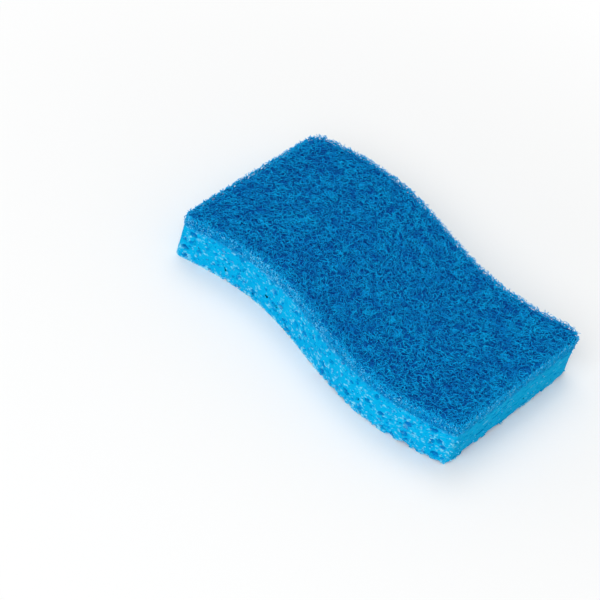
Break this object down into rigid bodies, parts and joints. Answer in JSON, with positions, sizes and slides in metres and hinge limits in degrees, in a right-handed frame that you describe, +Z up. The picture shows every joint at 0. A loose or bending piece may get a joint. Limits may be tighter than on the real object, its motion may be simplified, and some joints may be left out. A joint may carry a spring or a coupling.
{
  "type": "scrub sponge",
  "caption": "Kitchen scrub sponge with a wavy outline: a porous cellulose block with a thin matted scouring pad glued over its top.",
  "frame": {"origin": "middle of the underside, on the surface that the sponge lies on", "axes": "+X along the sponge, +Y across it towards the far long side, +Z up and out of the scouring pad"},
  "size_m": [0.112, 0.0766, 0.0175],
  "materials": {
    "cellulose": "dyed cellulose foam, dry, matt, with open lens-shaped pores",
    "pad": "non-woven web of dyed nylon fibres bonded with resin, matt with a slight gleam on the strands"
  },
  "bodies": {
    "root": {"cellulose_block": "cellulose", "scouring_pad": "pad"}
  },
  "joints": []
}
